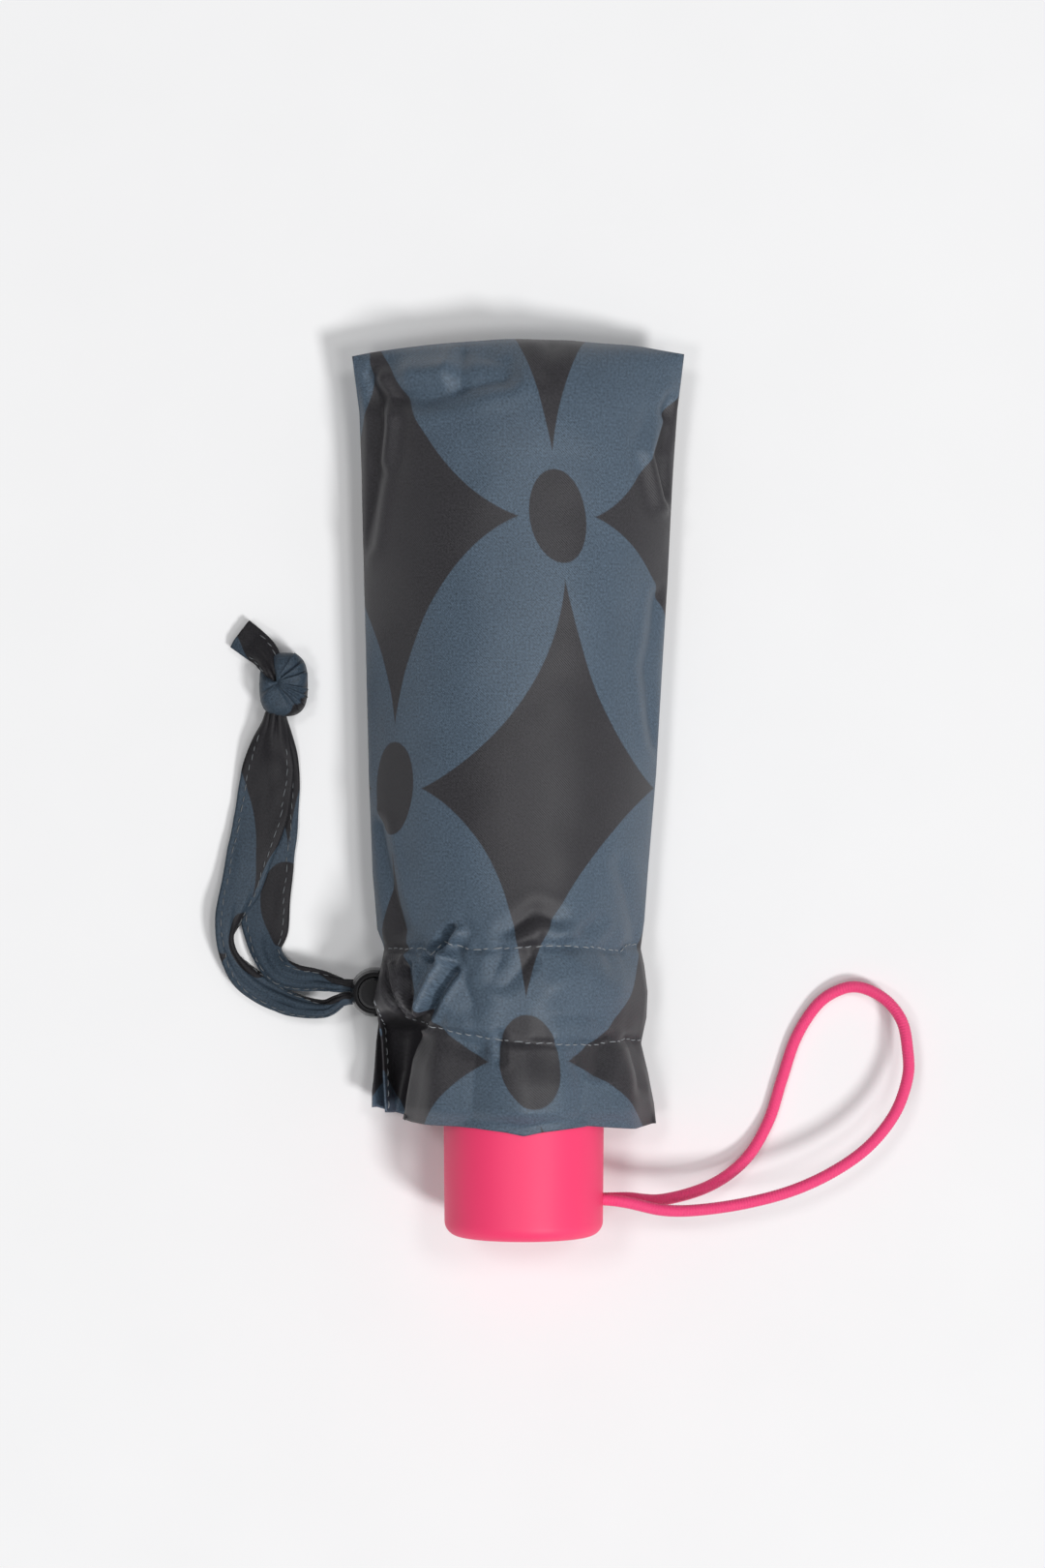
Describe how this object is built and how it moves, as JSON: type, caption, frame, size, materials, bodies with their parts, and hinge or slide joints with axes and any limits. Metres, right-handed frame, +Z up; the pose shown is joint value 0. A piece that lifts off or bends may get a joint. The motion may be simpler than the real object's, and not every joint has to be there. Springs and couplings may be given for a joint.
{
  "type": "folding umbrella",
  "caption": "Short manual folding umbrella closed in a drawstring fabric sleeve: soft-touch cup handle with elastic wrist loop, telescopic shaft, folded ribs and canopy inside.",
  "frame": {"origin": "centre of the bounding box without the cords, on the surface the closed umbrella lies on", "axes": "+Y along the shaft from the handle's end to the sleeve's closed end, +Z up from the surface, +X towards the wrist loop"},
  "size_m": [0.1906, 0.24, 0.0484],
  "materials": {
    "sleeve_fabric": "printed twill-weave polyester with a faint sheen",
    "tape_fabric": "same printed fabric, folded and edge stitched",
    "canopy_fabric": "thin water-repellent polyester",
    "pink_plastic": "soft-touch matte",
    "pink_cord": "braided round elastic",
    "black_plastic": "moulded, satin",
    "toggle_plastic": "moulded, glossy",
    "tube_steel": "bright plated steel tube",
    "bright_steel": "plain steel wire and sheet",
    "rib_steel": "black lacquered steel"
  },
  "bodies": {
    "frame": {"upper_tube": "tube_steel", "crown": "black_plastic", "crown_wire": "bright_steel", "ferrule_cap": "black_plastic", "canopy": "canopy_fabric", "catch_spring": "bright_steel"},
    "sleeve": {"sleeve": "sleeve_fabric", "drawstring_channel_run": "tape_fabric", "drawstring_strand_a": "tape_fabric", "drawstring_strand_b": "tape_fabric", "drawstring_knot": "tape_fabric", "drawstring_tail": "tape_fabric"},
    "toggle": {"toggle_body": "toggle_plastic", "toggle_spring": "bright_steel"},
    "toggle_button": {"toggle_button": "toggle_plastic"},
    "middle_tube": {"middle_tube": "tube_steel"},
    "handle": {"lower_tube": "tube_steel", "handle_core": "black_plastic", "handle_shell": "pink_plastic", "cord_anchor": "bright_steel", "wrist_loop": "pink_cord"},
    "catch": {"runner_catch": "bright_steel"},
    "runner": {"runner": "black_plastic", "runner_wire": "bright_steel"},
    "rib_1": {"top_rib_1": "rib_steel", "middle_rib_1": "rib_steel", "tip_rib_1": "rib_steel", "tie_strap": "canopy_fabric"},
    "stretcher_1": {"stretcher_1": "rib_steel"},
    "rib_2": {"top_rib_2": "rib_steel", "middle_rib_2": "rib_steel", "tip_rib_2": "rib_steel"},
    "stretcher_2": {"stretcher_2": "rib_steel"},
    "rib_3": {"top_rib_3": "rib_steel", "middle_rib_3": "rib_steel", "tip_rib_3": "rib_steel"},
    "stretcher_3": {"stretcher_3": "rib_steel"},
    "rib_4": {"top_rib_4": "rib_steel", "middle_rib_4": "rib_steel", "tip_rib_4": "rib_steel"},
    "stretcher_4": {"stretcher_4": "rib_steel"},
    "rib_5": {"top_rib_5": "rib_steel", "middle_rib_5": "rib_steel", "tip_rib_5": "rib_steel"},
    "stretcher_5": {"stretcher_5": "rib_steel"},
    "rib_6": {"top_rib_6": "rib_steel", "middle_rib_6": "rib_steel", "tip_rib_6": "rib_steel"},
    "stretcher_6": {"stretcher_6": "rib_steel"},
    "rib_7": {"top_rib_7": "rib_steel", "middle_rib_7": "rib_steel", "tip_rib_7": "rib_steel"},
    "stretcher_7": {"stretcher_7": "rib_steel"},
    "rib_8": {"top_rib_8": "rib_steel", "middle_rib_8": "rib_steel", "tip_rib_8": "rib_steel"},
    "stretcher_8": {"stretcher_8": "rib_steel"}
  },
  "joints": [
    {"name": "sleeve_pull", "type": "slide", "parent": "frame", "child": "sleeve", "axis": [0, 1, 0], "range_m": [0, 0.21], "deforming": ["canopy"]},
    {"name": "middle_tube_slide", "type": "slide", "parent": "frame", "child": "middle_tube", "axis": [0, -1, 0], "range_m": [0, 0.114]},
    {"name": "lower_tube_slide", "type": "slide", "parent": "middle_tube", "child": "handle", "axis": [0, -1, 0], "range_m": [0, 0.114]},
    {"name": "toggle_slide", "type": "slide", "parent": "sleeve", "child": "toggle", "axis": [-1, 0, 0], "range_m": [0, 0.01], "deforming": ["drawstring_strand_a", "drawstring_strand_b"]},
    {"name": "toggle_press", "type": "slide", "parent": "toggle", "child": "toggle_button", "axis": [0, 0, -1], "range_m": [0, 0.0018], "stiffness_N_per_m": 300, "springref_m": -0.003, "deforming": ["toggle_spring"]},
    {"name": "catch_press", "type": "slide", "parent": "frame", "child": "catch", "axis": [-1, 0, 0], "range_m": [0, 0.0016], "stiffness_N_per_m": 400, "springref_m": -0.002, "deforming": ["catch_spring"]},
    {"name": "runner_slide", "type": "slide", "parent": "frame", "child": "runner", "axis": [0, 1, 0], "range_m": [0, 0.00156]},
    {"name": "rib_1_spread", "type": "hinge", "parent": "frame", "child": "rib_1", "pos_m": [0.00871, 0.096, 0.02002], "axis": [0.3827, 0, 0.9239], "range_deg": [0, 8.01]},
    {"name": "stretcher_1_spread", "type": "hinge", "parent": "runner", "child": "stretcher_1", "pos_m": [0.00871, -0.0675, 0.02002], "axis": [-0.3827, 0, -0.9239], "range_deg": [0, 7.82]},
    {"name": "rib_2_spread", "type": "hinge", "parent": "frame", "child": "rib_2", "pos_m": [0.00449, 0.096, 0.01579], "axis": [0.9239, 0, 0.3827], "range_deg": [0, 8.01]},
    {"name": "stretcher_2_spread", "type": "hinge", "parent": "runner", "child": "stretcher_2", "pos_m": [0.00449, -0.0675, 0.01579], "axis": [-0.9239, 0, -0.3827], "range_deg": [0, 7.82]},
    {"name": "rib_3_spread", "type": "hinge", "parent": "frame", "child": "rib_3", "pos_m": [-0.00148, 0.096, 0.01579], "axis": [0.9239, 0, -0.3827], "range_deg": [0, 8.01]},
    {"name": "stretcher_3_spread", "type": "hinge", "parent": "runner", "child": "stretcher_3", "pos_m": [-0.00148, -0.0675, 0.01579], "axis": [-0.9239, 0, 0.3827], "range_deg": [0, 7.82]},
    {"name": "rib_4_spread", "type": "hinge", "parent": "frame", "child": "rib_4", "pos_m": [-0.00571, 0.096, 0.02002], "axis": [0.3827, 0, -0.9239], "range_deg": [0, 8.01]},
    {"name": "stretcher_4_spread", "type": "hinge", "parent": "runner", "child": "stretcher_4", "pos_m": [-0.00571, -0.0675, 0.02002], "axis": [-0.3827, 0, 0.9239], "range_deg": [0, 7.82]},
    {"name": "rib_5_spread", "type": "hinge", "parent": "frame", "child": "rib_5", "pos_m": [-0.00571, 0.096, 0.02599], "axis": [-0.3827, 0, -0.9239], "range_deg": [0, 8.01]},
    {"name": "stretcher_5_spread", "type": "hinge", "parent": "runner", "child": "stretcher_5", "pos_m": [-0.00571, -0.0675, 0.02599], "axis": [0.3827, 0, 0.9239], "range_deg": [0, 7.82]},
    {"name": "rib_6_spread", "type": "hinge", "parent": "frame", "child": "rib_6", "pos_m": [-0.00148, 0.096, 0.03021], "axis": [-0.9239, 0, -0.3827], "range_deg": [0, 8.01]},
    {"name": "stretcher_6_spread", "type": "hinge", "parent": "runner", "child": "stretcher_6", "pos_m": [-0.00148, -0.0675, 0.03021], "axis": [0.9239, 0, 0.3827], "range_deg": [0, 7.82]},
    {"name": "rib_7_spread", "type": "hinge", "parent": "frame", "child": "rib_7", "pos_m": [0.00449, 0.096, 0.03021], "axis": [-0.9239, 0, 0.3827], "range_deg": [0, 8.01]},
    {"name": "stretcher_7_spread", "type": "hinge", "parent": "runner", "child": "stretcher_7", "pos_m": [0.00449, -0.0675, 0.03021], "axis": [0.9239, 0, -0.3827], "range_deg": [0, 7.82]},
    {"name": "rib_8_spread", "type": "hinge", "parent": "frame", "child": "rib_8", "pos_m": [0.00871, 0.096, 0.02599], "axis": [-0.3827, 0, 0.9239], "range_deg": [0, 8.01]},
    {"name": "stretcher_8_spread", "type": "hinge", "parent": "runner", "child": "stretcher_8", "pos_m": [0.00871, -0.0675, 0.02599], "axis": [0.3827, 0, -0.9239], "range_deg": [0, 7.82]}
  ],
  "couplings": [
    {"joint": "runner_slide", "follows": "sleeve_pull", "ratio": 0.007396},
    {"joint": "rib_1_spread", "follows": "sleeve_pull", "rad_per_m": 0.66489},
    {"joint": "stretcher_1_spread", "follows": "sleeve_pull", "rad_per_m": 0.64902},
    {"joint": "rib_2_spread", "follows": "sleeve_pull", "rad_per_m": 0.66489},
    {"joint": "stretcher_2_spread", "follows": "sleeve_pull", "rad_per_m": 0.64902},
    {"joint": "rib_3_spread", "follows": "sleeve_pull", "rad_per_m": 0.66489},
    {"joint": "stretcher_3_spread", "follows": "sleeve_pull", "rad_per_m": 0.64902},
    {"joint": "rib_4_spread", "follows": "sleeve_pull", "rad_per_m": 0.66489},
    {"joint": "stretcher_4_spread", "follows": "sleeve_pull", "rad_per_m": 0.64902},
    {"joint": "rib_5_spread", "follows": "sleeve_pull", "rad_per_m": 0.66489},
    {"joint": "stretcher_5_spread", "follows": "sleeve_pull", "rad_per_m": 0.64902},
    {"joint": "rib_6_spread", "follows": "sleeve_pull", "rad_per_m": 0.66489},
    {"joint": "stretcher_6_spread", "follows": "sleeve_pull", "rad_per_m": 0.64902},
    {"joint": "rib_7_spread", "follows": "sleeve_pull", "rad_per_m": 0.66489},
    {"joint": "stretcher_7_spread", "follows": "sleeve_pull", "rad_per_m": 0.64902},
    {"joint": "rib_8_spread", "follows": "sleeve_pull", "rad_per_m": 0.66489},
    {"joint": "stretcher_8_spread", "follows": "sleeve_pull", "rad_per_m": 0.64902}
  ]
}
